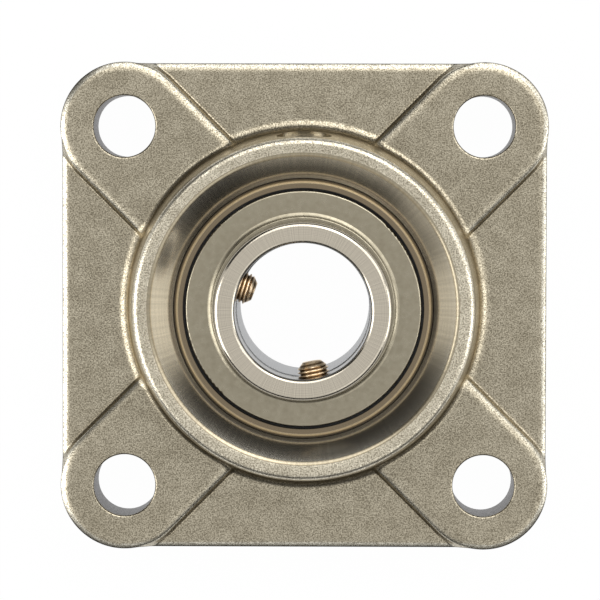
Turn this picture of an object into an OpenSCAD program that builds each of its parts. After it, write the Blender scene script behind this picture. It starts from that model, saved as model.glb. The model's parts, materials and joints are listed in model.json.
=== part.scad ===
// Square flange bearing: a cast stainless housing with a self-aligning ball bearing insert.
// The mounting face lies on z = 0, the shaft axis is Z, and the grease port is on the +Y side.

/* [Flange] */
// Side of the square flange, measured over its round corners
flange_side = 95; // [90:1:110]
// Distance between neighbouring bolt holes
bolt_spacing = 70; // [66:1:76]
// Diameter of each bolt hole
bolt_hole_d = 12; // [8:0.5:14]
// Height of the diagonal arms above the mounting face
arm_h = 14; // [13:0.5:17]
// Thickness of the webs between the arms
web_t = 12; // [9:0.5:13]
// How far the straight sides lie inside the round corners
side_inset = 0.25; // [0.1:0.05:1]
// Rounding along the upper edges of the arms and webs
edge_round = 1.75; // [0.5:0.25:1.75]
// Rounding of the bolt holes' front rims
hole_round = 0.35; // [0.1:0.05:0.8]

/* [Hub] */
// Height of the hub's rim above the mounting face
hub_h = 27; // [25:0.5:32]
// Outer diameter of the hub, taken where its wall would meet the rim
hub_d = 65.6; // [63:0.2:70]
// Draft of the hub's outer wall, in degrees
hub_draft = 6; // [3:1:12]
// Fillet between the hub's wall and the webs
hub_fillet = 2.5; // [1:0.25:4]
// Fillet between the hub's wall and the arms
arm_fillet = 1.5; // [0.75:0.25:1.75]
// Rounding of the rim's outer edge
rim_round = 1.5; // [0.4:0.1:2]
// Diameter at the wide end of the turned funnel in front of the seat
mouth_d = 58.4; // [56:0.2:60]
// Width of the bevel round the funnel's mouth
mouth_bevel = 0.8; // [0.2:0.1:1]
// Depth of the bevel round the funnel's mouth
mouth_bevel_h = 0.4; // [0.2:0.1:1]

/* [Seat] */
// Height of the seat's centre above the mounting face
seat_z = 16; // [15:0.5:18]
// Half the width of the spherical band that holds the insert
seat_half_w = 7.1; // [6:0.1:7.5]
// Gap between the seat and the insert's sphere
seat_gap = 0.05; // [0.02:0.01:0.1]
// Diameter of the opening at the mounting face
back_opening_d = 54; // [52:0.5:60]
// Room around the insert in the two loading slots
slot_room = 0.2; // [0.1:0.05:0.5]
// Width of the grease groove in the seat
groove_w = 3; // [2:0.5:4]
// Depth of the grease groove, measured out from the seat
groove_depth = 0.7; // [0.4:0.1:1.2]
// How far the grease groove lies in front of the seat's centre
groove_z = 3; // [2:0.5:4]

/* [Grease port] */
// Height of the port above the mounting face, on the hub's wall
port_z = 20.3; // [19:0.1:21]
// Diameter of the flat spot face around the port
spot_d = 10.6; // [9:0.2:11]
// Depth of the spot face below the hub's wall
spot_depth = 0.7; // [0.5:0.1:1]
// Core diameter of the tapped hole
port_d = 5; // [3.5:0.1:5.5]
// Diameter of the countersink at the tapped hole's mouth
port_sink_d = 6.9; // [6:0.1:8]
// Depth of the tapped hole
port_depth = 5; // [3:0.5:6]
// Diameter of the drilled way from the tapped hole to the groove
feed_d = 2.5; // [1.5:0.1:3]

/* [Outer ring] */
// Diameter of the insert's outer sphere
sphere_d = 52; // [51:0.5:56]
// Width of the outer ring
outer_ring_w = 17; // [16:0.5:18]
// Bevel at the outer edge of each end face
face_bevel = 0.45; // [0.1:0.05:0.6]
// Width of the flat land on each end face
land_w = 0.95; // [0.6:0.05:1.4]
// Depth of the step that each seal sits in
seal_step = 2.9; // [2.6:0.1:3.1]
// Diameter of the lubrication holes
oil_hole_d = 1.5; // [1:0.1:1.8]
// How far the lubrication holes lie in front of the ring's centre
oil_hole_z = 4.3; // [4.2:0.1:4.6]

/* [Balls] */
// Number of balls
ball_count = 9; // [7:1:9]
// Diameter of each ball
ball_d = 7.938; // [7:0.001:8.2]
// Radius of the race grooves as a share of the ball's diameter
race_conformity = 0.52; // [0.515:0.005:0.54]
// Depth of the race grooves below the rings' shoulders
race_depth = 1.6; // [1.2:0.1:1.8]
// Gap between ball and race
race_gap = 0.03; // [0.01:0.01:0.06]

/* [Cage] */
// Thickness of the cage's sheet
cage_t = 0.6; // [0.4:0.1:0.8]
// Gap between ball and pocket
pocket_gap = 0.1; // [0.06:0.02:0.2]
// Gap between the cage and the rings' shoulders
cage_gap = 0.5; // [0.3:0.1:0.9]
// Diameter of the rivets' shanks
rivet_d = 1.4; // [1:0.1:1.6]
// Diameter of the rivets' heads
rivet_head_d = 2.2; // [1.8:0.1:2.4]
// Height of the rivets' heads
rivet_head_h = 0.5; // [0.3:0.1:0.7]

/* [Seals and flingers] */
// Thickness of the seal's steel core
core_t = 0.4; // [0.3:0.1:0.5]
// Thickness of the seal's rubber on its outer face
rubber_t = 0.5; // [0.4:0.1:0.6]
// Radial length of the rubber lip inside the core
lip_reach = 0.9; // [0.6:0.1:1.2]
// How far the seal's rubber bead reaches into the outer ring
bead_depth = 0.35; // [0.2:0.05:0.5]
// Gap between the seal's lip and the inner ring
lip_gap = 0.05; // [0.02:0.01:0.1]
// Thickness of the flingers' sheet
flinger_t = 0.6; // [0.4:0.1:0.7]
// Gap between the flinger's edge and the outer ring
flinger_gap = 0.5; // [0.4:0.05:1]
// How far the flinger's face lies behind the outer ring's face
flinger_sink = 0.2; // [0.1:0.1:0.5]
// Depth of the flinger's bent edge
flinger_depth = 1.1; // [0.9:0.1:1.2]
// Rounding of the flinger's bent edge
flinger_round = 0.4; // [0.2:0.05:0.55]
// How far the flinger's collar stands out of its face
collar_h = 0.6; // [0.4:0.05:1]
// Radial width of the collar
collar_w = 0.75; // [0.6:0.05:1]
// Rounding of the collar's outer edge
collar_round = 0.3; // [0.1:0.05:0.5]
// Fillet between the collar and the flinger's face
collar_fillet = 1.5; // [1:0.1:2]

/* [Inner ring] */
// Diameter of the shaft bore
bore_d = 25.4; // [23:0.1:26]
// Width of the inner ring
inner_ring_w = 34.1; // [32:0.1:38]
// How far the inner ring reaches behind the seat's centre
inner_ring_back = 14.3; // [12:0.1:14.9]
// Rounding of the inner ring's outer edges
ring_round = 1.1; // [0.4:0.1:1.4]
// Rounding of the bore's mouths
bore_round = 0.9; // [0.4:0.1:1.2]
// Depth of the relief in the bore at the set screws
relief_depth = 0.2; // [0.16:0.02:0.3]
// How far the relief reaches behind the set screws
relief_reach = 1; // [0.5:0.1:2]

/* [Set screws] */
// Angle of the first set screw about the shaft axis
first_screw_angle = 159.5; // [0:0.5:359.5]
// Angle from the first set screw to the second
screw_spread = 120; // [60:1:180]
// Distance from the inner ring's front end to the screws' axes
screw_inset = 5; // [4.5:0.1:6]
// Outer diameter of the screws
screw_d = 5.9; // [4.9:0.1:6.4]
// Gap between the screws and their tapped holes
screw_gap = 0.05; // [0.03:0.01:0.1]
// Length of the screws
screw_l = 6.5; // [5:0.5:8]
// How far the screws' points reach into the bore
screw_reach = 3; // [1:0.1:3.5]
// Diameter of the screws' cup points
point_d = 3.4; // [2.5:0.1:4]
// Depth of the hollow in the cup points
cup_depth = 0.6; // [0.3:0.1:0.9]
// Width of the flat rim around that hollow
cup_rim = 0.4; // [0.2:0.1:0.6]
// Bevel of the screws' socket ends
screw_bevel = 0.4; // [0.2:0.1:0.6]
// Width across the flats of the hexagon sockets
socket_w = 3; // [2:0.1:3.4]
// Depth of the hexagon sockets
socket_depth = 3; // [2:0.1:3.5]

/* [Hidden] */
$fn = 96;

screw_angles = [first_screw_angle, first_screw_angle + screw_spread];

BALLS = [for (i = [1:ball_count]) str("ball_", i)];
SCREWS = [for (i = [1:len(screw_angles)]) str("set_screw_", i)];

// Overlap that keeps cuts and unions clear of coincident faces
over = 1;
// How far a fillet is sunk into the faces that it joins, so that they cross instead of only touching
fillet_sink = 0.03;
// Gap between pieces that are pressed, bonded or riveted together
fit_gap = 0.02;

// Flange
corner_r = (flange_side - bolt_spacing) / 2;
arm_reach = bolt_spacing / sqrt(2);
side_r = flange_side / 2 - side_inset;

// Seat
sphere_r = sphere_d / 2;
seat_r = sphere_r + seat_gap;
seat_lip_r = sqrt(pow(seat_r, 2) - pow(seat_half_w, 2));
arm_start = (seat_r + hub_d / 2) / 2;

// Ball track, midway between the bore and the sphere
bore_r = bore_d / 2;
ball_r = ball_d / 2;
pitch_r = (bore_r + sphere_r) / 2;
race_r = race_conformity * ball_d;
inner_race_r = pitch_r - ball_r - race_gap;
outer_race_r = pitch_r + ball_r + race_gap;
inner_r = inner_race_r + race_depth;
shoulder_r = outer_race_r - race_depth;

// Outer ring, measured from the seat's centre
outer_half_w = outer_ring_w / 2;
face_r = sqrt(pow(sphere_r, 2) - pow(outer_half_w, 2));
seal_seat_r = face_r - face_bevel - land_w;
seal_z = outer_half_w - seal_step;

// Seals and flingers, measured from the seat's centre
core_z = seal_z + fit_gap;
rubber_z = core_z + core_t + fit_gap;
seal_front_z = rubber_z + rubber_t;
lip_r = inner_r + lip_gap;
core_inner_r = lip_r + lip_reach;
core_outer_r = seal_seat_r - fit_gap;
bead_r = seal_seat_r + bead_depth;
flinger_r = seal_seat_r - flinger_gap;
flinger_z = outer_half_w - flinger_sink;

// Cage
pocket_r = ball_r + pocket_gap;
cage_inner_r = inner_r + cage_gap;
cage_outer_r = shoulder_r - cage_gap;

// Inner ring and set screws, measured from the seat's centre
ring_back_z = -inner_ring_back;
ring_front_z = inner_ring_w - inner_ring_back;
screw_z = ring_front_z - screw_inset;
screw_r = screw_d / 2;
screw_hole_r = screw_r + screw_gap;
relief_r = bore_r + relief_depth;
relief_z = screw_z - screw_hole_r - relief_reach;
screw_tip_r = bore_r - screw_reach;

// Radius of the hub's drafted wall at a height above the mounting face
function hub_wall_r(z) = hub_d / 2 + (hub_h - z) * tan(hub_draft);

// Angle of a ball, counted from 1
function ball_angle(i) = 90 + i * 360 / ball_count;

// The sharp corner that a quarter round of radius r leaves over, with its tip at the origin
module spandrel(r) {
    difference() {
        translate([-over, -over]) square(r + over);
        translate([r, r]) circle(r);
    }
}

// Section of an arm's half: flat below and rounded at its upper edge
module half_bar(half_w, h) {
    difference() {
        square([half_w, h]);
        translate([half_w, h]) rotate(180) spandrel(edge_round);
    }
}

// Section of a whole bar, rounded at both upper edges
module bar(half_w, h) {
    difference() {
        translate([-half_w, 0]) square([2 * half_w, h]);
        translate([half_w, h]) rotate(180) spandrel(edge_round);
        translate([-half_w, h]) rotate(-90) spandrel(edge_round);
    }
}

// Two crossing slabs make the webs and the straight sides
module webs() {
    for (turn = [0, 90])
        rotate(turn)
            translate([0, bolt_spacing / 2, 0])
                rotate([90, 0, 0])
                    linear_extrude(bolt_spacing) bar(side_r, web_t);
}

// One arm along +X, round about its bolt hole
module arm() {
    translate([arm_start, 0, 0])
        rotate([90, 0, 90])
            linear_extrude(arm_reach - arm_start) bar(corner_r, arm_h);
    translate([arm_reach, 0, 0])
        rotate_extrude(angle = 180, start = -90) half_bar(corner_r, arm_h);
}

// How far the tangent point of a round of radius 1 lies from the corner between the drafted wall and a level face
function lean() = (1 - sin(hub_draft)) / cos(hub_draft);

// Section of the hub: a drafted wall with a round rim and a fillet at its foot
module hub_section() {
    foot_z = web_t - fillet_sink;
    foot_r = hub_wall_r(foot_z) + hub_fillet * lean();
    rim_r = hub_d / 2 - rim_round * lean();
    difference() {
        union() {
            polygon([
                [0, 0],
                [foot_r, 0],
                [foot_r, foot_z],
                [foot_r - hub_fillet * cos(hub_draft), foot_z + hub_fillet * (1 - sin(hub_draft))],
                [rim_r + rim_round * cos(hub_draft), hub_h - rim_round * (1 - sin(hub_draft))],
                [rim_r, hub_h],
                [0, hub_h]
            ]);
            translate([rim_r, hub_h - rim_round]) circle(rim_round);
        }
        translate([foot_r, foot_z + hub_fillet]) circle(hub_fillet);
    }
}

// Fillets where the four arms run into the hub, rounded off towards the arms' edges
module arm_fillets() {
    foot_z = arm_h - fillet_sink;
    foot_r = hub_wall_r(arm_h) + arm_fillet * lean() - fillet_sink;
    intersection() {
        rotate_extrude()
            difference() {
                translate([arm_start, foot_z - over])
                    square([foot_r - arm_start, over + arm_fillet * (1 - sin(hub_draft))]);
                translate([foot_r, foot_z + arm_fillet]) circle(arm_fillet);
            }
        for (corner = [45:90:315])
            rotate(corner)
                translate([arm_start, 0, 0])
                    rotate([90, 0, 90])
                        linear_extrude(foot_r - arm_start) bar(corner_r, arm_h + arm_fillet);
    }
}

// Section of the hollow: the spherical seat, its grease groove, the funnel and the opening behind
module seat_section() {
    mouth_r = mouth_d / 2;
    mouth_z = hub_h - mouth_bevel_h;
    front_z = seat_z + seat_half_w;
    back_z = seat_z - seat_half_w;
    back_r = back_opening_d / 2;
    funnel_slope = (mouth_r - seat_lip_r) / (mouth_z - front_z);
    back_slope = (back_r - seat_lip_r) / back_z;
    intersection() {
        translate([0, seat_z]) circle(seat_r);
        translate([0, seat_z - seat_r - over]) square([seat_r + over, 2 * (seat_r + over)]);
    }
    translate([0, seat_z + groove_z - groove_w / 2])
        square([sqrt(pow(seat_r, 2) - pow(groove_z, 2)) + groove_depth, groove_w]);
    polygon([
        [0, front_z - over],
        [seat_lip_r - over * funnel_slope, front_z - over],
        [mouth_r, mouth_z],
        [mouth_r + mouth_bevel, hub_h],
        [mouth_r + mouth_bevel, hub_h + over],
        [0, hub_h + over]
    ]);
    polygon([
        [0, back_z + over],
        [seat_lip_r - over * back_slope, back_z + over],
        [back_r, 0],
        [back_r, -over],
        [0, -over]
    ]);
}

// Two slots from the back, through which the insert goes in edge on
module loading_slots() {
    intersection() {
        translate([0, 0, -over]) cylinder(r = sphere_r + slot_room, h = seat_z + over);
        translate([-sphere_d, -outer_half_w - slot_room, -over])
            cube([2 * sphere_d, outer_ring_w + 2 * slot_room, seat_z + 2 * over]);
    }
}

// One bolt hole with a round front rim
module bolt_hole() {
    hole_r = bolt_hole_d / 2;
    rotate_extrude() {
        translate([0, -over]) square([hole_r, arm_h + 2 * over]);
        translate([hole_r, arm_h]) rotate(-90) spandrel(hole_round);
    }
}

// Spot face, countersunk tapped hole and feed hole, square to the hub's wall
module grease_port() {
    wall_r = hub_wall_r(port_z);
    sink_h = (port_sink_d - port_d) / 2;
    translate([0, wall_r, port_z])
        rotate([hub_draft - 90, 0, 0])
            translate([0, 0, -spot_depth]) {
                cylinder(d = spot_d, h = spot_d);
                translate([0, 0, -sink_h]) cylinder(d1 = port_d, d2 = port_sink_d, h = sink_h);
                translate([0, 0, -port_depth]) cylinder(d = port_d, h = port_depth + over);
                translate([0, 0, seat_r - wall_r]) cylinder(d = feed_d, h = wall_r - seat_r);
            }
}

module housing() {
    color([0.66, 0.63, 0.58])
        difference() {
            union() {
                webs();
                for (corner = [45:90:315]) rotate(corner) arm();
                rotate_extrude() hub_section();
                arm_fillets();
            }
            rotate_extrude() seat_section();
            loading_slots();
            for (corner = [45:90:315]) rotate(corner) translate([arm_reach, 0, 0]) bolt_hole();
            grease_port();
        }
}

module outer_ring() {
    color([0.62, 0.56, 0.46])
        translate([0, 0, seat_z])
            difference() {
                rotate_extrude()
                    difference() {
                        intersection() {
                            circle(sphere_r);
                            polygon([
                                [0, -outer_half_w],
                                [face_r - face_bevel, -outer_half_w],
                                [sphere_r, -outer_half_w + sphere_r - face_r + face_bevel],
                                [sphere_r, outer_half_w - sphere_r + face_r - face_bevel],
                                [face_r - face_bevel, outer_half_w],
                                [0, outer_half_w]
                            ]);
                        }
                        translate([0, -outer_ring_w]) square([shoulder_r, 2 * outer_ring_w]);
                        translate([outer_race_r - race_r, 0]) circle(race_r);
                        for (side = [0, 1])
                            mirror([0, side]) {
                                translate([0, seal_z]) square([seal_seat_r, outer_ring_w]);
                                translate([0, core_z]) square([bead_r + fit_gap, seal_front_z - core_z + fit_gap]);
                            }
                    }
                for (turn = [90, 270])
                    rotate(turn)
                        translate([pitch_r, 0, oil_hole_z]) rotate([0, 90, 0]) cylinder(d = oil_hole_d, h = sphere_r);
            }
}

module inner_ring() {
    color([0.72, 0.69, 0.64])
        translate([0, 0, seat_z])
            difference() {
                rotate_extrude()
                    difference() {
                        polygon([
                            [bore_r, ring_back_z],
                            [inner_r, ring_back_z],
                            [inner_r, ring_front_z],
                            [relief_r, ring_front_z],
                            [relief_r, relief_z],
                            [bore_r, relief_z - relief_depth]
                        ]);
                        translate([inner_race_r + race_r, 0]) circle(race_r);
                        translate([inner_r, ring_front_z]) rotate(180) spandrel(ring_round);
                        translate([inner_r, ring_back_z]) rotate(90) spandrel(ring_round);
                        translate([relief_r, ring_front_z]) rotate(-90) spandrel(bore_round);
                        translate([bore_r, ring_back_z]) spandrel(bore_round);
                    }
                for (turn = screw_angles)
                    rotate(turn)
                        translate([0, 0, screw_z]) rotate([0, 90, 0]) cylinder(r = screw_hole_r, h = inner_r + over);
            }
}

// One ball of the row
module ball(i) {
    color([0.8, 0.8, 0.82])
        rotate(ball_angle(i)) translate([pitch_r, 0, seat_z]) sphere(ball_r);
}

// Ring as wide as the cage's sheet, from z = 0 up
module cage_band(h) {
    rotate_extrude() translate([cage_inner_r, 0]) square([cage_outer_r - cage_inner_r, h]);
}

// One hollow pocket of the cage, trimmed to the cage's width
module cage_pocket() {
    difference() {
        intersection() {
            cage_band(pocket_r + cage_t + over);
            translate([pitch_r, 0, 0]) sphere(pocket_r + cage_t);
        }
        translate([pitch_r, 0, 0]) sphere(pocket_r);
    }
}

// One pressed half of the cage, with its flat on z = 0 and its pockets above
module cage_half() {
    for (i = [1:ball_count]) rotate(ball_angle(i)) cage_pocket();
    difference() {
        cage_band(cage_t);
        for (i = [1:ball_count]) {
            rotate(ball_angle(i))
                translate([pitch_r, 0, -over]) cylinder(r = pocket_r + cage_t / 2, h = cage_t + 2 * over);
            rotate(ball_angle(i + 0.5))
                translate([pitch_r, 0, -over]) cylinder(d = rivet_d + 2 * fit_gap, h = cage_t + 2 * over);
        }
    }
}

module cage_front() {
    color([0.7, 0.7, 0.7]) translate([0, 0, seat_z]) cage_half();
}

module cage_rear() {
    color([0.7, 0.7, 0.7]) translate([0, 0, seat_z]) mirror([0, 0, 1]) cage_half();
}

// The rivets between the pockets, each with a bevelled head on both sides
module cage_rivets() {
    shank_r = rivet_d / 2;
    head_r = rivet_head_d / 2;
    top_z = cage_t + rivet_head_h;
    color([0.75, 0.75, 0.75])
        for (i = [1:ball_count])
            rotate(ball_angle(i + 0.5))
                translate([pitch_r, 0, seat_z])
                    rotate_extrude()
                        polygon([
                            [0, -top_z],
                            [shank_r, -top_z],
                            [head_r, -cage_t - fit_gap],
                            [shank_r, -cage_t - fit_gap],
                            [shank_r, cage_t + fit_gap],
                            [head_r, cage_t + fit_gap],
                            [shank_r, top_z],
                            [0, top_z]
                        ]);
}

// Flat steel washer inside a seal, on the front side
module seal_core() {
    rotate_extrude()
        translate([core_inner_r, core_z]) square([core_outer_r - core_inner_r, core_t]);
}

// Rubber bonded to the core, with a bead in the outer ring's groove and a lip that thins towards the inner ring
module seal_lip() {
    rotate_extrude()
        polygon([
            [core_inner_r - fit_gap, core_z],
            [core_inner_r - fit_gap, rubber_z],
            [core_outer_r, rubber_z],
            [bead_r, rubber_z],
            [bead_r, seal_front_z],
            [core_inner_r, seal_front_z],
            [lip_r, seal_front_z - core_t],
            [lip_r, core_z]
        ]);
}

module front_seal_core() {
    color([0.6, 0.6, 0.6]) translate([0, 0, seat_z]) seal_core();
}

module front_seal_lip() {
    color([0.12, 0.12, 0.12]) translate([0, 0, seat_z]) seal_lip();
}

module rear_seal_core() {
    color([0.6, 0.6, 0.6]) translate([0, 0, seat_z]) mirror([0, 0, 1]) seal_core();
}

module rear_seal_lip() {
    color([0.12, 0.12, 0.12]) translate([0, 0, seat_z]) mirror([0, 0, 1]) seal_lip();
}

// Section of a flinger's collar: a round crown that runs out into the face, with the face's inner corner at the origin
module collar_section() {
    crown = [collar_w - collar_round, collar_h - collar_round];
    rounds = collar_round + collar_fillet;
    reach = sqrt(collar_h * (2 * rounds - collar_h));
    foot_r = crown.x + reach;
    touch = crown + [reach, rounds - collar_h] * collar_round / rounds;
    difference() {
        union() {
            polygon([
                [0, -flinger_t / 2],
                [foot_r, -flinger_t / 2],
                [foot_r, 0],
                touch,
                crown,
                [crown.x, collar_h],
                [0, collar_h]
            ]);
            translate(crown) circle(collar_round);
        }
        translate([foot_r, collar_fillet - fillet_sink]) circle(collar_fillet);
    }
}

// Pressed sheet disc with a raised collar on the inner ring and a bent outer edge
module flinger() {
    bottom_z = flinger_z - flinger_depth;
    collar_r = inner_r + fit_gap;
    rotate_extrude() {
        difference() {
            translate([collar_r, bottom_z]) square([flinger_r - collar_r, flinger_depth]);
            translate([collar_r - over, bottom_z - over])
                square([flinger_r - collar_r + over - flinger_t, flinger_depth - flinger_t + over]);
            translate([flinger_r, flinger_z]) rotate(180) spandrel(flinger_round);
        }
        translate([collar_r, flinger_z]) collar_section();
    }
}

module front_flinger() {
    color([0.64, 0.61, 0.56]) translate([0, 0, seat_z]) flinger();
}

module rear_flinger() {
    color([0.64, 0.61, 0.56]) translate([0, 0, seat_z]) mirror([0, 0, 1]) flinger();
}

// One set screw with a cup point towards the shaft and a hexagon socket behind
module set_screw(i) {
    point_r = point_d / 2;
    cone_h = screw_r - point_r;
    color([0.55, 0.42, 0.25])
        rotate(screw_angles[i - 1])
            translate([screw_tip_r, 0, seat_z + screw_z])
                rotate([0, 90, 0])
                    difference() {
                        rotate_extrude()
                            polygon([
                                [0, cup_depth],
                                [point_r - cup_rim, 0],
                                [point_r, 0],
                                [screw_r, cone_h],
                                [screw_r, screw_l - screw_bevel],
                                [screw_r - screw_bevel, screw_l],
                                [0, screw_l]
                            ]);
                        translate([0, 0, screw_l - socket_depth])
                            cylinder(d = socket_w * 2 / sqrt(3), h = socket_depth + over, $fn = 6);
                    }
}

housing();
outer_ring();
inner_ring();
for (i = [1:ball_count]) ball(i);
cage_front();
cage_rear();
cage_rivets();
front_seal_core();
front_seal_lip();
rear_seal_core();
rear_seal_lip();
front_flinger();
rear_flinger();
for (i = [1:len(SCREWS)]) set_screw(i);
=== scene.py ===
"""Looks of a square flange bearing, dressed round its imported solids. All lengths are in metres."""

import json
import math

import bpy
import numpy as np
from mathutils import Matrix, Vector


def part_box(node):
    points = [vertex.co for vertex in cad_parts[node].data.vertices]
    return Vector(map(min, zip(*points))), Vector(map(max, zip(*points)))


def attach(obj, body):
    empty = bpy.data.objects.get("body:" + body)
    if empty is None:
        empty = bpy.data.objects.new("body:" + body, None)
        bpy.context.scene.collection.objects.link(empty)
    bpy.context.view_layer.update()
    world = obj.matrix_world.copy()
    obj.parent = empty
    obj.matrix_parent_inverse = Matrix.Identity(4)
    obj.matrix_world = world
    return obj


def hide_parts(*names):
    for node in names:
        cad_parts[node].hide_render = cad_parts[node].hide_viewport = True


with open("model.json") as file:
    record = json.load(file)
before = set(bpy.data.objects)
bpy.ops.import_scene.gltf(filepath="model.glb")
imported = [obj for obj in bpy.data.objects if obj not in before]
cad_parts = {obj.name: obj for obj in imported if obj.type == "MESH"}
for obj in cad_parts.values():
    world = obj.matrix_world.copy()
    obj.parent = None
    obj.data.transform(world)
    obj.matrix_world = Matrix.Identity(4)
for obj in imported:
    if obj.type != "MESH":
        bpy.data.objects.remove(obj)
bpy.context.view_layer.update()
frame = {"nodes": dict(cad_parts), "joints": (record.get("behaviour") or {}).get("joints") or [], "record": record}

mounts = {mount["name"]: mount for mount in frame["record"]["mounts"]}
bolts = mounts["flange_bolts"]["dims"]
MM = 0.001

# Flange, whose edges slope softly down to the outline, with a steep wall at the foot of each arm
FLANGE_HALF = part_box("housing")[1].x
BOLT_HALF = bolts["spacing_x_mm"] * MM / 2
BOLT_HOLE_R = bolts["hole_r_mm"] * MM
CORNER_R = FLANGE_HALF - BOLT_HALF
SIDE_INSET = 0.00025
SIDE = FLANGE_HALF - SIDE_INSET
ARM_TOP = 0.014
WEB_TOP = 0.012
ARM_EDGE_W = 0.0022
WEB_EDGE_W = 0.0019
EDGE_SLOPE = math.radians(34)
ARM_WALL_SLOPE = math.radians(68)
FOOT_BLEND = 0.0005
BACK_ROUND = 0.0004
HOLE_ROUND = 0.00045
OUTLINE_SLACK = 1e-7

# Columns of the casting, in degrees off an arm: where a stretch of them starts and ends, and its step
ARM_ANGLES = (45, 135, 225, 315)
COLUMN_STEPS = ((0, 12, 0.4), (12, 21, 0.25), (21, 45, 0.4))

# Lighter edges, partly wear and partly painted highlight, painted shade in hollows, and a painted dark line along
# the outline with painted shade on the sides
RELIEF_REACHES = (0.0004, 0.0009)
RELIEF_DEPTH = 0.0003
RELIEF_TURNS = 12
RIM_SHARE = 0.35
OUTLINE_SHADE_W = 0.0003
OUTLINE_BAND = 0.0005
SIDE_SHADE_SHARE = 0.42

# Hub
HUB_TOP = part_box("housing")[1].z
HUB_R = 0.0328
HUB_DRAFT = math.radians(6)
WEB_FILLET = 0.0025
ARM_FILLET = 0.0015
RIM_ROUND = 0.0015
MOUTH_R = 0.0292
MOUTH_BEVEL = 0.0008
MOUTH_BEVEL_H = 0.0004
RIM_LIGHTER_DEPTHS = (0.0016, 0.0004)

# Seat of the insert
SEAT_Z = frame["joints"][0]["pos_m"][2]
SEAT_R = 0.02605
SEAT_HALF_W = 0.0071
BACK_OPENING_R = 0.027
SLOT_R = 0.0262
SLOT_HALF_W = 0.0087
SEAT_LIP_R = math.sqrt(SEAT_R ** 2 - SEAT_HALF_W ** 2)
LIP_W = 0.0011

# Insert, with the bands over which a tone changes at its edges
BORE_R = mounts["shaft_bore"]["dims"]["r_mm"] * MM
BORE_BAND = (0.0001, 0.0006)
RING_WALL_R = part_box("inner_ring")[1].x
RING_WALL_BAND = (0.00045, 0.00015)
# The outer ring's land, outside which a painted highlight runs along its bevel
LAND_R = 0.02412
LAND_BAND = (0.0002, 0.0006)
FLINGER_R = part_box("front_flinger")[1].x
FLINGER_RIM_W = 0.0004

# Grease port
PORT_Z = 0.0203
PORT_AXIS = Vector(mounts["grease_port"]["axis"])
PORT_R = mounts["grease_port"]["dims"]["r_mm"] * MM
SPOT_R = 0.0053
SPOT_DEPTH = 0.0007
PORT_SINK_R = 0.00345
PORT_DEPTH = 0.005
FEED_R = 0.00125

# Cutters, turned by a share of a segment, so that no corner of theirs meets a line of the casting
TURN_START = 0.37
CUT_CLEAR = 0.001
SEAT_SEGMENTS = 288
HOLE_SEGMENTS = 96

# Set screws
SCREW_LENGTH = 0.0065
SCREW_CREST_R = 0.00295
SCREW_PITCH = 0.00075
SCREW_THREAD_DEPTH = 0.00044
SCREW_POINT_R = 0.0017
SCREW_CUP_DEPTH = 0.0006
SCREW_CUP_RIM = 0.0004
SCREW_BEVEL = 0.0004
SCREW_COLUMNS = 60
SCREW_TURN_ROWS = 12
SCREW_END_ROWS = 4
SCREW_CENTRE_R = 0.0001
VALLEY_SHARE = 0.1
FLANK_SHARE = 0.75
SOCKET_HALF_W = 0.0015
SOCKET_DEPTH = 0.003
SOCKET_POINT = 0.0005
SOCKET_MOUTH = 1.06
SOCKET_BEVEL = 0.0001

# Dark studio cards: name, first and last angle, lower and upper edge
FLAG_DISTANCE = 0.6
FLAGS = (
    ("flag_top", 44, 112, 0.03, 0.28),
    ("flag_top_left", 112, 154, 0.0, 0.6),
    ("flag_bottom_left", 208, 292, 0.0, 0.36),
    ("flag_bottom_right", 292, 332, 0.04, 0.48),
)

# Soft lamps: name, place, size and power
SOFTBOXES = (
    ("softbox_key", (0.31, 0.34, 0.44), (0.5, 0.5), 1.3),
    ("softbox_top", (0.0, 0.46, 0.44), (0.6, 0.46), 1.7),
    ("softbox_right", (0.58, -0.04, 0.22), (0.36, 0.36), 1.0),
    ("softbox_left", (-0.55, -0.08, 0.33), (0.46, 0.44), 2.3),
    ("softbox_low_right", (0.34, -0.34, 0.46), (0.4, 0.4), 0.3),
)

# Floor
FLOOR_HALF = 4.0
FLOOR_GAP = 0.0003


# Mesh helpers

def mesh_object(name, points, faces):
    """A new mesh object in the scene, from a list of points and a list of faces."""
    mesh = bpy.data.meshes.new(name)
    mesh.from_pydata([tuple(point) for point in points], [], faces)
    mesh.update()
    made = bpy.data.objects.new(name, mesh)
    bpy.context.scene.collection.objects.link(made)
    return made


def grid_faces(rows, columns, closed_rows=False):
    """Quads of a grid of points whose columns go all the way round, as its rows do too if closed_rows."""
    faces = []
    for row in range(rows if closed_rows else rows - 1):
        above = (row + 1) % rows
        for column in range(columns):
            beside = (column + 1) % columns
            faces.append((
                row * columns + column,
                row * columns + beside,
                above * columns + beside,
                above * columns + column,
            ))
    return faces


def turned(name, profile, segments):
    """A solid turned about Z from a profile of (radius, height) points, closed by a flat at both ends."""
    angles = (np.arange(segments) + TURN_START) * 2 * math.pi / segments
    points = []
    for radius, height in profile:
        heights = np.full(segments, height)
        points.extend(zip(radius * np.cos(angles), radius * np.sin(angles), heights))
    faces = grid_faces(len(profile), segments)
    last = (len(profile) - 1) * segments
    faces.append(tuple(reversed(range(segments))))
    faces.append(tuple(range(last, last + segments)))
    return mesh_object(name, points, faces)


def shade(piece, sharp_angle=35):
    """Smooth shading, with edges sharper than the angle kept sharp."""
    piece.data.shade_smooth()
    piece.data.set_sharp_from_angle(angle=math.radians(sharp_angle))


def place(piece, matrix):
    """Moves a piece's own points, so that its object stays at the origin."""
    piece.data.transform(matrix)


def apply_modifiers(piece):
    """Turns what the modifiers make into the piece's own mesh."""
    graph = bpy.context.evaluated_depsgraph_get()
    made = bpy.data.meshes.new_from_object(piece.evaluated_get(graph), depsgraph=graph)
    piece.modifiers.clear()
    piece.data = made


# Materials

def node_material(name):
    """A new node material with its node tree and shader."""
    material = bpy.data.materials.new(name)
    material.use_nodes = True
    tree = material.node_tree
    shader = tree.nodes["Principled BSDF"]
    return material, tree, shader


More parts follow.
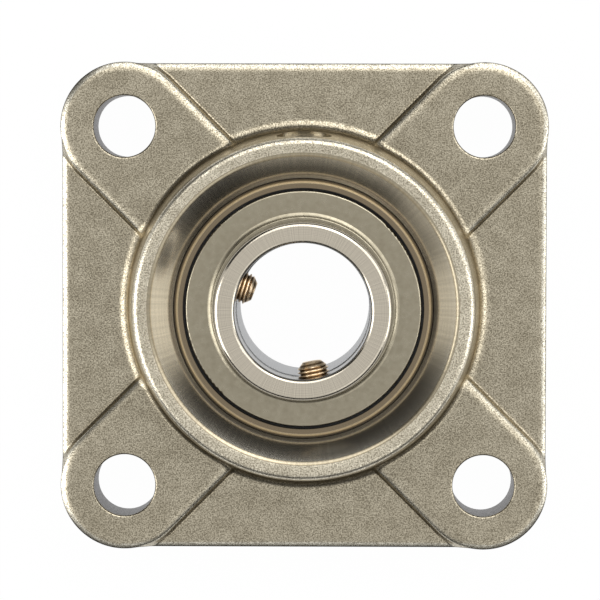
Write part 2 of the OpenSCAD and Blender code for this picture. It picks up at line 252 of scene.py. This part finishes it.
def grain(tree, size, detail=4.0, roughness=0.6):
    """Noise with features of about that size, in the object's own coordinates."""
    place_node = tree.nodes.new("ShaderNodeTexCoord")
    noise = tree.nodes.new("ShaderNodeTexNoise")
    noise.inputs["Scale"].default_value = 1 / size
    noise.inputs["Detail"].default_value = detail
    noise.inputs["Roughness"].default_value = roughness
    tree.links.new(place_node.outputs["Object"], noise.inputs["Vector"])
    return noise.outputs["Fac"]


def ramp(tree, factor, low, high, low_at=0.3, high_at=0.7):
    """A colour ramp between two colours."""
    node = tree.nodes.new("ShaderNodeValToRGB")
    node.color_ramp.elements[0].position = low_at
    node.color_ramp.elements[0].color = (*low, 1)
    node.color_ramp.elements[1].position = high_at
    node.color_ramp.elements[1].color = (*high, 1)
    tree.links.new(factor, node.inputs["Fac"])
    return node.outputs["Color"]


def spread(tree, factor, low, high, low_from=0.3, high_from=0.7):
    """A value that runs from low to high with the factor."""
    node = tree.nodes.new("ShaderNodeMapRange")
    node.inputs["From Min"].default_value = low_from
    node.inputs["From Max"].default_value = high_from
    node.inputs["To Min"].default_value = low
    node.inputs["To Max"].default_value = high
    tree.links.new(factor, node.inputs["Value"])
    return node.outputs["Result"]


def bump(tree, shader, height, distance, strength=1.0):
    """Bumps of that height on the shader's surface, stacked on what bumps it has."""
    node = tree.nodes.new("ShaderNodeBump")
    node.inputs["Strength"].default_value = strength
    node.inputs["Distance"].default_value = distance
    tree.links.new(height, node.inputs["Height"])
    if shader.inputs["Normal"].links:
        tree.links.new(shader.inputs["Normal"].links[0].from_socket, node.inputs["Normal"])
    tree.links.new(node.outputs["Normal"], shader.inputs["Normal"])


def multiply(tree, first, second):
    """The product of two colours."""
    node = tree.nodes.new("ShaderNodeMix")
    node.data_type = "RGBA"
    node.blend_type = "MULTIPLY"
    node.inputs["Factor"].default_value = 1
    tree.links.new(first, node.inputs["A"])
    tree.links.new(second, node.inputs["B"])
    return node.outputs["Result"]


def height_of(tree):
    """Height above the mounting face."""
    place_node = tree.nodes.new("ShaderNodeTexCoord")
    split = tree.nodes.new("ShaderNodeSeparateXYZ")
    tree.links.new(place_node.outputs["Object"], split.inputs["Vector"])
    return split.outputs["Z"]


def radius_of(tree):
    """Distance from the shaft axis."""
    place_node = tree.nodes.new("ShaderNodeTexCoord")
    flat = tree.nodes.new("ShaderNodeVectorMath")
    flat.operation = "MULTIPLY"
    flat.inputs[1].default_value = (1, 1, 0)
    length = tree.nodes.new("ShaderNodeVectorMath")
    length.operation = "LENGTH"
    tree.links.new(place_node.outputs["Object"], flat.inputs[0])
    tree.links.new(flat.outputs["Vector"], length.inputs[0])
    return length.outputs["Value"]


def turning_marks(tree, spacing):
    """Fine rings about the shaft axis, as a tool leaves them, from 0 to 1."""
    noise = tree.nodes.new("ShaderNodeTexNoise")
    noise.noise_dimensions = "1D"
    noise.inputs["Scale"].default_value = 1 / spacing
    noise.inputs["Detail"].default_value = 3
    tree.links.new(radius_of(tree), noise.inputs["W"])
    return noise.outputs["Fac"]


def radial_marks(tree, count):
    """Fine lines that run away from the shaft axis, as a brush leaves them, from 0 to 1."""
    place_node = tree.nodes.new("ShaderNodeTexCoord")
    turn = tree.nodes.new("ShaderNodeTexGradient")
    turn.gradient_type = "RADIAL"
    noise = tree.nodes.new("ShaderNodeTexNoise")
    noise.noise_dimensions = "1D"
    noise.inputs["Scale"].default_value = count
    noise.inputs["Detail"].default_value = 2
    tree.links.new(place_node.outputs["Object"], turn.inputs["Vector"])
    tree.links.new(turn.outputs["Fac"], noise.inputs["W"])
    return noise.outputs["Fac"]


def stretch_along_axis(tree, shader, amount):
    """Highlights that rings about the shaft axis draw out across themselves."""
    tangent = tree.nodes.new("ShaderNodeTangent")
    tangent.direction_type = "RADIAL"
    tangent.axis = "Z"
    tree.links.new(tangent.outputs["Tangent"], shader.inputs["Tangent"])
    shader.inputs["Anisotropic"].default_value = amount
    shader.inputs["Anisotropic Rotation"].default_value = 0.25


def mark_of(tree, name):
    """A value that the mesh carries."""
    node = tree.nodes.new("ShaderNodeAttribute")
    node.attribute_name = name
    return node.outputs["Fac"]


def cast_stainless():
    """Tumbled casting: warm grey with a bright grain, lighter on edges by wear and painted highlight, lighter near
    the hub's top, with painted shade in hollows, along the outline and on the sides.
    """
    material, tree, shader = node_material("cast_stainless")
    speckle = grain(tree, 0.00026, detail=2)
    cloud = grain(tree, 0.004, detail=3)
    tone = ramp(tree, speckle, (0.15, 0.13, 0.092), (0.48, 0.433, 0.332), 0.36, 0.64)
    relief = mark_of(tree, "relief")
    low, high = (HUB_TOP - depth for depth in RIM_LIGHTER_DEPTHS)
    near_rim = spread(tree, height_of(tree), 0, 1, low, high)
    shares = [
        ramp(tree, cloud, (0.88, 0.87, 0.85), (1.08, 1.08, 1.08), 0.35, 0.65),
        # Edges lighter, partly by wear and partly as painted highlight
        ramp(tree, spread(tree, relief, 0, 1, 0.1, 0.9), (1, 1, 1), (1.4, 1.48, 1.64), 0, 1),
        # Painted shade in hollows
        ramp(tree, spread(tree, relief, 0, 1, -0.1, -0.8), (1, 1, 1), (0.95, 0.93, 0.9), 0, 1),
        # Lighter towards the hub's top rim
        ramp(tree, near_rim, (1, 1, 1), (1.5, 1.53, 1.6), 0, 1),
        # Painted shade: a dark line along the outline, and darker sides
        ramp(tree, mark_of(tree, "painted_outline_shade"), (1, 1, 1), (0.1, 0.09, 0.08), 0.1, 0.9),
    ]
    for share in shares:
        tone = multiply(tree, tone, share)
    tree.links.new(tone, shader.inputs["Base Color"])
    tree.links.new(spread(tree, speckle, 0.36, 0.24), shader.inputs["Roughness"])
    shader.inputs["Metallic"].default_value = 1
    shader.inputs["Specular Tint"].default_value = (1, 0.96, 0.9, 1)
    bump(tree, shader, speckle, 0.00003, 0.8)
    bump(tree, shader, grain(tree, 0.004, detail=2), 0.0001, 0.4)
    return material


def inner_ring_steel():
    """Ground ring steel with a brushed face, a darker outer wall, and a duller, colder bore."""
    material, tree, shader = node_material("ring_steel")
    marks = turning_marks(tree, 0.00012)
    tone = ramp(tree, marks, (0.4, 0.362, 0.295), (0.54, 0.492, 0.405), 0.25, 0.75)
    brush = ramp(tree, radial_marks(tree, 420), (0.92, 0.92, 0.92), (1.07, 1.07, 1.07), 0.35, 0.65)
    low, high = (BORE_R + step for step in BORE_BAND)
    from_bore = spread(tree, radius_of(tree), 0, 1, low, high)
    bore = ramp(tree, from_bore, (0.8, 0.9, 1.12), (1, 1, 1), 0, 1)
    low, high = (RING_WALL_R - step for step in RING_WALL_BAND)
    near_wall = spread(tree, radius_of(tree), 0, 1, low, high)
    wall = ramp(tree, near_wall, (1, 1, 1), (0.75, 0.75, 0.75), 0, 1)
    for share in (brush, bore, wall):
        tone = multiply(tree, tone, share)
    tree.links.new(tone, shader.inputs["Base Color"])
    tree.links.new(spread(tree, from_bore, 0.36, 0.15, 0, 1), shader.inputs["Roughness"])
    shader.inputs["Metallic"].default_value = 1
    stretch_along_axis(tree, shader, 0.3)
    bump(tree, shader, marks, 0.000004)
    return material


def drilled_steel():
    """The dull wall that a drill leaves."""
    material, tree, shader = node_material("drilled_steel")
    marks = grain(tree, 0.0005, detail=3)
    tone = ramp(tree, marks, (0.1, 0.096, 0.095), (0.16, 0.154, 0.152))
    tree.links.new(tone, shader.inputs["Base Color"])
    tree.links.new(spread(tree, marks, 0.5, 0.36), shader.inputs["Roughness"])
    shader.inputs["Metallic"].default_value = 1
    bump(tree, shader, marks, 0.00001)
    return material


def funnel_steel():
    """The turned funnel and seat, colder beside the insert and warm on the bevel of the funnel's mouth."""
    material, tree, shader = node_material("machined_steel")
    marks = turning_marks(tree, 0.00015)
    tone = ramp(tree, marks, (0.37, 0.354, 0.312), (0.46, 0.444, 0.397), 0.25, 0.75)
    brush = ramp(tree, radial_marks(tree, 260), (0.92, 0.92, 0.92), (1.06, 1.06, 1.06), 0.35, 0.65)
    from_seat = spread(tree, radius_of(tree), 0, 1, SEAT_LIP_R, SEAT_LIP_R + LIP_W)
    lip = ramp(tree, from_seat, (0.8, 0.93, 1.2), (1, 1, 1), 0.3, 1)
    line_w = 0.0001
    from_mouth = spread(tree, radius_of(tree), 0, 1, MOUTH_R - line_w, MOUTH_R + line_w)
    bevel = ramp(tree, from_mouth, (1, 1, 1), (0.74, 0.67, 0.54), 0, 1)
    for share in (brush, lip, bevel):
        tone = multiply(tree, tone, share)
    tree.links.new(tone, shader.inputs["Base Color"])
    tree.links.new(spread(tree, marks, 0.23, 0.19), shader.inputs["Roughness"])
    shader.inputs["Metallic"].default_value = 1
    stretch_along_axis(tree, shader, 0.3)
    bump(tree, shader, marks, 0.000002)
    return material


def outer_ring_steel():
    """Ground ring steel, brown on its land, with a gold line of painted highlight along its bevel."""
    material, tree, shader = node_material("outer_ring_steel")
    marks = turning_marks(tree, 0.00012)
    inside, outside = LAND_BAND
    across = spread(tree, radius_of(tree), 0, 1, LAND_R - inside, LAND_R + outside)
    tint = ramp(tree, across, (0.18, 0.142, 0.094), (0.2, 0.15, 0.09), 0.15, 0.85)
    stops = tint.node.color_ramp.elements
    # Painted highlight: a gold line just outside the land, a little darker further out
    stops.new(0.32).color = (0.86, 0.7, 0.46, 1)
    stops.new(0.6).color = (0.8, 0.62, 0.38, 1)
    lines = ramp(tree, marks, (0.85, 0.85, 0.85), (1.12, 1.12, 1.12), 0.25, 0.75)
    tree.links.new(multiply(tree, tint, lines), shader.inputs["Base Color"])
    tree.links.new(spread(tree, marks, 0.32, 0.22), shader.inputs["Roughness"])
    shader.inputs["Metallic"].default_value = 1
    bump(tree, shader, marks, 0.000003)
    return material


def sheet_steel(name, dark, light, roughness, size=0.0012, lighter_rim_r=None):
    """Pressed sheet with a soft satin mottle, bright along its rim where one is given."""
    material, tree, shader = node_material(name)
    mottle = grain(tree, size, detail=5)
    tone = ramp(tree, mottle, dark, light)
    if lighter_rim_r:
        # Lighter along the rim
        near_rim = spread(tree, radius_of(tree), 0, 1, lighter_rim_r - FLINGER_RIM_W, lighter_rim_r)
        tone = multiply(tree, tone, ramp(tree, near_rim, (1, 1, 1), (1.9, 1.9, 1.9), 0.2, 0.8))
    tree.links.new(tone, shader.inputs["Base Color"])
    tree.links.new(spread(tree, mottle, roughness * 1.15, roughness * 0.85), shader.inputs["Roughness"])
    shader.inputs["Metallic"].default_value = 1
    bump(tree, shader, mottle, 0.000006)
    return material


def seal_rubber():
    """Black moulded rubber."""
    material, tree, shader = node_material("seal_rubber")
    mottle = grain(tree, 0.0006)
    tone = ramp(tree, mottle, (0.012, 0.012, 0.012), (0.03, 0.03, 0.029))
    tree.links.new(tone, shader.inputs["Base Color"])
    tree.links.new(spread(tree, mottle, 0.65, 0.5), shader.inputs["Roughness"])
    bump(tree, shader, mottle, 0.00001)
    return material


def screw_steel():
    """Bronze-tinted steel, with painted highlight on the thread's crests and painted shade in its valleys."""
    material, tree, shader = node_material("screw_steel")
    tone = ramp(tree, mark_of(tree, "painted_thread_light"), (0.24, 0.16, 0.088), (1.0, 0.8, 0.55), 0.2, 0.8)
    tree.links.new(tone, shader.inputs["Base Color"])
    mottle = grain(tree, 0.0004)
    tree.links.new(spread(tree, mottle, 0.42, 0.26), shader.inputs["Roughness"])
    shader.inputs["Metallic"].default_value = 1
    bump(tree, shader, mottle, 0.000008)
    return material


# Housing

def edge_drop(inside, width):
    """How far an edge lies below its flat: a shallow arc up to the outline and a steep wall beyond it."""
    radius = width / math.sin(EDGE_SLOPE)
    reach = width - np.clip(inside, 0, width)
    arc = radius - np.sqrt(radius ** 2 - reach ** 2)
    return arc + np.maximum(-inside, 0) * math.tan(ARM_WALL_SLOPE)


def outline_radius(angles):
    """Distance from the shaft axis to the flange's outline, in each direction."""
    across, up = np.abs(np.cos(angles)), np.abs(np.sin(angles))
    tiny = 1e-9
    wide = np.minimum(SIDE / np.maximum(across, tiny), BOLT_HALF / np.maximum(up, tiny))
    tall = np.minimum(BOLT_HALF / np.maximum(across, tiny), SIDE / np.maximum(up, tiny))
    along = BOLT_HALF * (across + up)
    beside = BOLT_HALF * (across - up)
    corner = along + np.sqrt(np.maximum(CORNER_R ** 2 - beside ** 2, 0))
    corner = np.where(np.abs(beside) < CORNER_R, corner, 0)
    return np.maximum(np.maximum(wide, tall), corner)


def flange_height(x, y):
    """Height of the webs and arms, with soft edges and a small round at the foot of each arm."""
    x, y = np.abs(x), np.abs(y)
    side_room = SIDE - np.maximum(x, y)
    on_web = (side_room > -OUTLINE_SLACK) & (np.minimum(x, y) < BOLT_HALF)
    web = np.where(on_web, WEB_TOP - edge_drop(side_room, WEB_EDGE_W), 0)
    along = np.clip((x + y) / 2, 0, BOLT_HALF)
    out = np.hypot(x - along, y - along)
    arm = ARM_TOP - edge_drop(CORNER_R - out, ARM_EDGE_W)
    blend = np.maximum(FOOT_BLEND - np.abs(web - arm), 0) ** 2 / (4 * FOOT_BLEND)
    on_flange = on_web | (out < CORNER_R + OUTLINE_SLACK)
    return np.where(on_flange, np.maximum(web, arm) + blend, 0)


def cast_height(x, y):
    """Height of the casting's front: the flange with the hub on it and a fillet between them."""
    base = flange_height(x, y)
    radius = np.hypot(x, y)
    slope = math.tan(HUB_DRAFT)
    lean = (1 - math.sin(HUB_DRAFT)) / math.cos(HUB_DRAFT)
    on_arm = np.clip((base - WEB_TOP) / (ARM_TOP - WEB_TOP), 0, 1)
    fillet = WEB_FILLET + (ARM_FILLET - WEB_FILLET) * on_arm
    centre_r = HUB_R + (HUB_TOP - base) * slope + fillet * lean
    wall = HUB_TOP - (radius - HUB_R) / slope
    dip = np.sqrt(np.maximum(fillet ** 2 - (centre_r - radius) ** 2, 0))
    foot = base + fillet - dip
    hub = np.where(radius > centre_r - fillet * math.cos(HUB_DRAFT), foot, wall)
    rim_r = HUB_R - RIM_ROUND * lean
    past_rim = np.maximum(radius - rim_r, 0)
    rim = HUB_TOP - RIM_ROUND + np.sqrt(np.maximum(RIM_ROUND ** 2 - past_rim ** 2, 0))
    hub = np.where(radius < rim_r + RIM_ROUND * math.cos(HUB_DRAFT), rim, hub)
    return np.where(radius < centre_r, hub, base)


def column_angles():
    """Directions of the casting's columns, closer together where they cross the arms' edges."""
    off_arm = []
    for start, end, step in COLUMN_STEPS:
        off_arm.extend(start + (np.arange(round((end - start) / step)) + 0.5) * step)
    off_arm = np.array(off_arm)
    beside = np.concatenate([-off_arm[::-1], off_arm])
    return np.radians(np.concatenate([arm + beside for arm in ARM_ANGLES]))


def cast_body():
    """The casting before any machining: a ring that is closed all round, with its front as cast."""
    angles = column_angles()
    columns = len(angles)
    core_r = 0.024
    hub_foot_r = 0.0372
    back_r = 0.036
    side_heights = (0.008, 0.004, BACK_ROUND)
    edge_reach = ARM_EDGE_W * 1.1
    mouth_rows = 4
    hub_rows = 44
    flange_rows = 26
    edge_rows = 10
    reach = outline_radius(angles)
    fixed = np.concatenate([
        np.linspace(core_r, HUB_R - RIM_ROUND, mouth_rows),
        np.linspace(HUB_R - RIM_ROUND, hub_foot_r, hub_rows)[1:],
    ])
    share = np.linspace(0, 1, flange_rows)[1:]
    edge_steps = np.linspace(edge_reach, 0, edge_rows)
    edge_start = reach - edge_reach
    rows = [np.full(columns, radius) for radius in fixed]
    rows += [hub_foot_r + (edge_start - hub_foot_r) * part for part in share]
    rows += [reach - step for step in edge_steps[1:]]
    points = []
    for radius in rows:
        x, y = radius * np.cos(angles), radius * np.sin(angles)
        points.append(np.stack([x, y, cast_height(x, y)], axis=1))
    rim = points[-1]
    points.append(rim - (0, 0, OUTLINE_BAND))
    for height in side_heights:
        points.append(np.column_stack([rim[:, :2], np.full(columns, height)]))
    inset = 1 - BACK_ROUND / reach[:, None]
    points.append(np.column_stack([rim[:, :2] * inset, np.zeros(columns)]))
    for radius in (back_r, core_r):
        x, y = radius * np.cos(angles), radius * np.sin(angles)
        points.append(np.column_stack([x, y, np.zeros(columns)]))
    stacked = np.concatenate(points)
    return mesh_object("housing_casting", stacked, grid_faces(len(points), columns, closed_rows=True))


def mark_wear_and_painted_light(piece):
    """Marks from -1 in hollows, for painted shade, to 1 on edges, for wear and painted highlight, and painted
    outline shade by 1 on the outline and less on the sides.
    """
    count = len(piece.data.vertices)
    flat = np.empty(count * 3)
    piece.data.vertices.foreach_get("co", flat)
    x, y, z = flat.reshape(-1, 3).T
    height = cast_height(x, y)
    around = np.zeros(count)
    for step in range(RELIEF_TURNS):
        angle = 2 * math.pi * step / RELIEF_TURNS
        for reach in RELIEF_REACHES:
            around += cast_height(x + reach * math.cos(angle), y + reach * math.sin(angle))
    around /= RELIEF_TURNS * len(RELIEF_REACHES)
    on_front = np.clip(1 - np.abs(height - z) / RELIEF_DEPTH, 0, 1)
    relief = np.clip((height - around) / RELIEF_DEPTH, -1, 1) * on_front
    relief = np.where((z > HUB_TOP - RIM_ROUND) & (relief > 0), relief * RIM_SHARE, relief)
    # Painted shade: full on the outline, a share of it on the sides
    inside = outline_radius(np.arctan2(y, x)) - np.hypot(x, y)
    painted_outline_shade = 1 - np.clip(inside / OUTLINE_SHADE_W, 0, 1)
    painted_outline_shade = np.where(height - z > OUTLINE_BAND / 2, painted_outline_shade * SIDE_SHADE_SHARE, painted_outline_shade)
    for name, values in (("relief", relief), ("painted_outline_shade", painted_outline_shade)):
        mark = piece.data.attributes.new(name, "FLOAT", "POINT")
        mark.data.foreach_set("value", values.astype(np.float32))


def seat_cutter():
    """What the lathe takes out of the hub: the opening behind, the spherical seat and the front funnel."""
    arc = []
    half_steps = 8
    for step in range(2 * half_steps + 1):
        height = SEAT_HALF_W * (step / half_steps - 1)
        arc.append((math.sqrt(SEAT_R ** 2 - height ** 2), SEAT_Z + height))
    profile = [(BACK_OPENING_R, -CUT_CLEAR), (BACK_OPENING_R, 0), *arc]
    profile += [(MOUTH_R, HUB_TOP - MOUTH_BEVEL_H), (MOUTH_R + MOUTH_BEVEL, HUB_TOP)]
    profile += [(MOUTH_R + MOUTH_BEVEL, HUB_TOP + CUT_CLEAR)]
    return turned("seat_cutter", profile, SEAT_SEGMENTS)


def slot_cutter():
    """The two slots behind, through which the insert is loaded edge on."""
    swing = math.asin(SLOT_HALF_W / SLOT_R)
    steps = 12
    outline = []
    for turn in (0, math.pi):
        for step in range(steps + 1):
            angle = turn - swing + 2 * swing * step / steps
            outline.append((SLOT_R * math.cos(angle), SLOT_R * math.sin(angle)))
    count = len(outline)
    points = [(x, y, z) for z in (-CUT_CLEAR, SEAT_Z) for x, y in outline]
    faces = grid_faces(2, count)
    faces.append(tuple(reversed(range(count))))
    faces.append(tuple(range(count, 2 * count)))
    return mesh_object("slot_cutter", points, faces)


def bolt_cutter(x, y, cast, drilled):
    """One drilled bolt hole with a softly broken front rim."""
    profile = [(BOLT_HOLE_R, -CUT_CLEAR)]
    round_steps = 5
    for step in range(round_steps + 1):
        angle = math.pi / 2 * step / round_steps
        profile.append((
            BOLT_HOLE_R + HOLE_ROUND * (1 - math.cos(angle)),
            ARM_TOP - HOLE_ROUND * (1 - math.sin(angle)),
        ))
    profile.append((BOLT_HOLE_R + HOLE_ROUND, ARM_TOP + CUT_CLEAR))
    cutter = turned("bolt_cutter", profile, HOLE_SEGMENTS)
    cutter.data.materials.append(drilled)
    cutter.data.materials.append(cast)
    for face in cutter.data.polygons:
        face.material_index = 0 if face.index < HOLE_SEGMENTS else 1
    place(cutter, Matrix.Translation((x, y, 0)))
    return cutter


def port_cutter():
    """Spot face, countersunk hole and feed hole of the grease port, square to the hub's wall."""
    wall_r = HUB_R + (HUB_TOP - PORT_Z) * math.tan(HUB_DRAFT)
    sink = PORT_SINK_R - PORT_R
    profile = [
        (FEED_R, SEAT_R - wall_r),
        (FEED_R, -PORT_DEPTH),
        (PORT_R, -PORT_DEPTH),
        (PORT_R, -sink),
        (PORT_SINK_R, 0),
        (SPOT_R, 0),
        (SPOT_R, SPOT_R),
    ]
    cutter = turned("port_cutter", profile, HOLE_SEGMENTS)
    face = Vector((0, wall_r, PORT_Z)) - PORT_AXIS * SPOT_DEPTH
    turn = Vector((0, 0, 1)).rotation_difference(PORT_AXIS).to_matrix().to_4x4()
    place(cutter, Matrix.Translation(face) @ turn)
    return cutter


def cut(piece, cutters):
    """Cuts the pieces out of another, and gives the cut faces their materials."""
    for cutter in cutters:
        modifier = piece.modifiers.new("cut", "BOOLEAN")
        modifier.operation = "DIFFERENCE"
        modifier.solver = "EXACT"
        modifier.material_mode = "TRANSFER"
        modifier.object = cutter
    bpy.context.view_layer.update()
    apply_modifiers(piece)
    for cutter in cutters:
        bpy.data.objects.remove(cutter)


def make_housing(cast, machined, drilled):
    """The cast housing with its machined seat, holes and port."""
    housing = cast_body()
    housing.data.materials.append(cast)
    cutters = [seat_cutter(), slot_cutter(), port_cutter()]
    for cutter in cutters:
        cutter.data.materials.append(machined)
    for x in (-BOLT_HALF, BOLT_HALF):
        for y in (-BOLT_HALF, BOLT_HALF):
            cutters.append(bolt_cutter(x, y, cast, drilled))
    cut(housing, cutters)
    mark_wear_and_painted_light(housing)
    shade(housing)
    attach(housing, "housing")
    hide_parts("housing")


# Set screws

def screw_mesh(name):
    """A set screw along +Z from its cup point, with a real thread and a hexagon socket at the far end."""
    columns = SCREW_COLUMNS
    angles = np.arange(columns) * 2 * math.pi / columns
    turn_share = angles / (2 * math.pi)
    rows, painted_thread_lights = [], []

    def ring(radius, height, painted_thread_light):
        """One row of points, with its share of painted light: 1 for a crest's painted highlight, down to 0 for
        painted shade.
        """
        radius = np.broadcast_to(np.asarray(radius, float), angles.shape)
        height = np.broadcast_to(np.asarray(height, float), angles.shape)
        rows.append(np.column_stack([radius * np.cos(angles), radius * np.sin(angles), height]))
        painted_thread_lights.append(np.broadcast_to(np.asarray(painted_thread_light, float), angles.shape))

    ring(SCREW_CENTRE_R, SCREW_CUP_DEPTH, 0.3)
    ring(SCREW_POINT_R - SCREW_CUP_RIM, 0, 0.7)
    ring(SCREW_POINT_R, 0, 1)
    steps = round(SCREW_LENGTH / SCREW_PITCH * SCREW_TURN_ROWS)
    for step in range(1, steps):
        height = SCREW_LENGTH * step / steps
        wave = np.abs(2 * np.mod(height / SCREW_PITCH - turn_share, 1) - 1)
        rise = np.clip((wave - VALLEY_SHARE) / FLANK_SHARE, 0, 1)
        thread = SCREW_CREST_R - SCREW_THREAD_DEPTH * (1 - rise)
        cone = min(SCREW_POINT_R + height, SCREW_CREST_R - SCREW_BEVEL + SCREW_LENGTH - height)
        ring(np.minimum(thread, cone), height, rise)
    ring(SCREW_CREST_R - SCREW_BEVEL, SCREW_LENGTH, 0.45)
    hexagon = SOCKET_HALF_W / np.cos(np.mod(angles, math.pi / 3) - math.pi / 6)
    ring(hexagon * SOCKET_MOUTH, SCREW_LENGTH, 0.45)
    # Painted shade deeper in the socket
    ring(hexagon, SCREW_LENGTH - SOCKET_BEVEL, 0.2)
    ring(hexagon, SCREW_LENGTH - SOCKET_DEPTH, 0.1)
    ring(SCREW_CENTRE_R, SCREW_LENGTH - SOCKET_DEPTH - SOCKET_POINT, 0.1)
    faces = grid_faces(len(rows), columns)
    last = (len(rows) - 1) * columns
    faces.append(tuple(reversed(range(columns))))
    faces.append(tuple(range(last, last + columns)))
    screw = mesh_object(name, np.concatenate(rows), faces)
    painted_thread_light = screw.data.attributes.new("painted_thread_light", "FLOAT", "POINT")
    painted_thread_light.data.foreach_set("value", np.concatenate(painted_thread_lights).astype(np.float32))
    return screw


def make_set_screw(number, material, end_material):
    """One threaded set screw in the place of its plain solid, with its socket end in the end material."""
    node = "set_screw_%d" % number
    joint = next(j for j in frame["joints"] if j["child"] == "screw_%d" % number)
    low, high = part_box(node)
    outward = Vector(joint["axis"]).normalized()
    middle = (low + high) / 2
    screw = screw_mesh("threaded_set_screw_%d" % number)
    turn = Vector((0, 0, 1)).rotation_difference(outward).to_matrix().to_4x4()
    tip = middle - outward * (SCREW_LENGTH / 2)
    place(screw, Matrix.Translation(tip) @ turn)
    screw.data.materials.append(material)
    screw.data.materials.append(end_material)
    caps = 2
    side_faces = len(screw.data.polygons) - caps - SCREW_END_ROWS * SCREW_COLUMNS
    for face in screw.data.polygons:
        face.material_index = 1 if face.index >= side_faces else 0
    shade(screw, 50)
    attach(screw, "screw_%d" % number)
    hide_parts(node)


# Stage, lights and camera

def seen_white(tree):
    """1 for what the camera, gloss and glass see, and 0 for the light on the object."""
    path = tree.nodes.new("ShaderNodeLightPath")
    seen = tree.nodes.new("ShaderNodeMath")
    seen.operation = "MAXIMUM"
    either = tree.nodes.new("ShaderNodeMath")
    either.operation = "MAXIMUM"
    tree.links.new(path.outputs["Is Camera Ray"], seen.inputs[0])
    tree.links.new(path.outputs["Is Glossy Ray"], seen.inputs[1])
    tree.links.new(seen.outputs["Value"], either.inputs[0])
    tree.links.new(path.outputs["Is Transmission Ray"], either.inputs[1])
    return either.outputs["Value"]


def make_world():
    """A plain pale studio all round."""
    world = bpy.data.worlds.new("studio")
    bpy.context.scene.world = world
    world.use_nodes = True
    tree = world.node_tree
    background = tree.nodes["Background"]
    share = seen_white(tree)
    level = spread(tree, share, 0.6, 1.0, 0, 1)
    tree.links.new(level, background.inputs["Strength"])
    background.inputs["Color"].default_value = (1, 1, 1, 1)


def make_floor():
    """A pale floor under the mounting face, which keeps the part's shadow."""
    half = FLOOR_HALF
    corners = [(-half, -half), (half, -half), (half, half), (-half, half)]
    floor = mesh_object("floor", [(x, y, -FLOOR_GAP) for x, y in corners], [(0, 1, 2, 3)])
    material, tree, shader = node_material("pale_floor")
    shader.inputs["Base Color"].default_value = (0.85, 0.85, 0.85, 1)
    shader.inputs["Roughness"].default_value = 0.9
    glow = tree.nodes.new("ShaderNodeEmission")
    glow.inputs["Strength"].default_value = 1.0
    mix = tree.nodes.new("ShaderNodeMixShader")
    share = spread(tree, seen_white(tree), 0, 0.985, 0, 1)
    tree.links.new(share, mix.inputs["Fac"])
    tree.links.new(shader.outputs["BSDF"], mix.inputs[1])
    tree.links.new(glow.outputs["Emission"], mix.inputs[2])
    tree.links.new(mix.outputs["Shader"], tree.nodes["Material Output"].inputs["Surface"])
    floor.data.materials.append(material)


def make_flag(name, start, end, low, high):
    """A dark curved card beside the part, which gloss reflects and the camera doesn't see."""
    steps = 24
    points = []
    for step in range(steps + 1):
        angle = math.radians(start + (end - start) * step / steps)
        for height in (low, high):
            points.append((FLAG_DISTANCE * math.cos(angle), FLAG_DISTANCE * math.sin(angle), height))
    faces = [(2 * i, 2 * i + 2, 2 * i + 3, 2 * i + 1) for i in range(steps)]
    card = mesh_object(name, points, faces)
    material, _, shader = node_material(name)
    shader.inputs["Base Color"].default_value = (0.03, 0.03, 0.03, 1)
    shader.inputs["Roughness"].default_value = 0.9
    card.data.materials.append(material)
    card.visible_camera = False
    card.visible_shadow = False


def make_softbox(name, at, size, power):
    """A soft lamp that looks at the part."""
    lamp = bpy.data.lights.new(name, "AREA")
    lamp.shape = "RECTANGLE"
    lamp.size, lamp.size_y = size
    lamp.energy = power
    made = bpy.data.objects.new(name, lamp)
    made.location = at
    made.rotation_euler = (-Vector(at)).to_track_quat("-Z", "Y").to_euler()
    bpy.context.scene.collection.objects.link(made)


def make_camera():
    """The photograph's view: nearly along the shaft axis, a little from above and from the right."""
    at = Vector((0.00835, 0.03111, 0.7))
    target = Vector((-0.00079, 0.00124, 0.014))
    roll = math.radians(0.106)
    picture_width = 600
    focal_pixels = 3527.9
    data = bpy.data.cameras.new("camera")
    data.sensor_width = 36
    data.lens = focal_pixels / picture_width * data.sensor_width
    data.clip_start, data.clip_end = 0.05, 20
    camera = bpy.data.objects.new("camera", data)
    back = (at - target).normalized()
    right = Vector((0, 1, 0)).cross(back).normalized()
    up = back.cross(right)
    turn = Matrix((right, up, back)).transposed().to_4x4()
    camera.matrix_world = Matrix.Translation(at) @ turn @ Matrix.Rotation(roll, 4, "Z")
    bpy.context.scene.collection.objects.link(camera)
    bpy.context.scene.camera = camera


def dress_nodes(looks):
    """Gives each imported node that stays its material."""
    for node, material in looks.items():
        target = frame["nodes"][node]
        target.data.materials.clear()
        target.data.materials.append(material)


# Scene

cast = cast_stainless()
machined = funnel_steel()
drilled = drilled_steel()
ring_steel = inner_ring_steel()
outer_steel = outer_ring_steel()
flinger_steel = sheet_steel(
    "flinger_steel", (0.25, 0.222, 0.162), (0.31, 0.28, 0.21), 0.3, lighter_rim_r=FLINGER_R
)
cage_steel = sheet_steel("cage_steel", (0.4, 0.39, 0.37), (0.52, 0.51, 0.49), 0.35)
ball_steel = sheet_steel("ball_steel", (0.66, 0.66, 0.67), (0.74, 0.74, 0.75), 0.08, size=0.004)
rubber = seal_rubber()
bronze = screw_steel()

make_housing(cast, machined, drilled)
for number in (1, 2):
    make_set_screw(number, bronze, ring_steel)

looks = {
    "outer_ring": outer_steel,
    "inner_ring": ring_steel,
    "front_flinger": flinger_steel,
    "rear_flinger": flinger_steel,
    "cage_front": cage_steel,
    "cage_rear": cage_steel,
    "cage_rivets": cage_steel,
    "front_seal_core": cage_steel,
    "rear_seal_core": cage_steel,
    "front_seal_lip": rubber,
    "rear_seal_lip": rubber,
}
looks.update({node: ball_steel for node in frame["nodes"] if node.startswith("ball_")})
dress_nodes(looks)

make_world()
make_floor()
for flag in FLAGS:
    make_flag(*flag)
for softbox in SOFTBOXES:
    make_softbox(*softbox)
make_camera()

bpy.context.scene.view_settings.view_transform = "Standard"
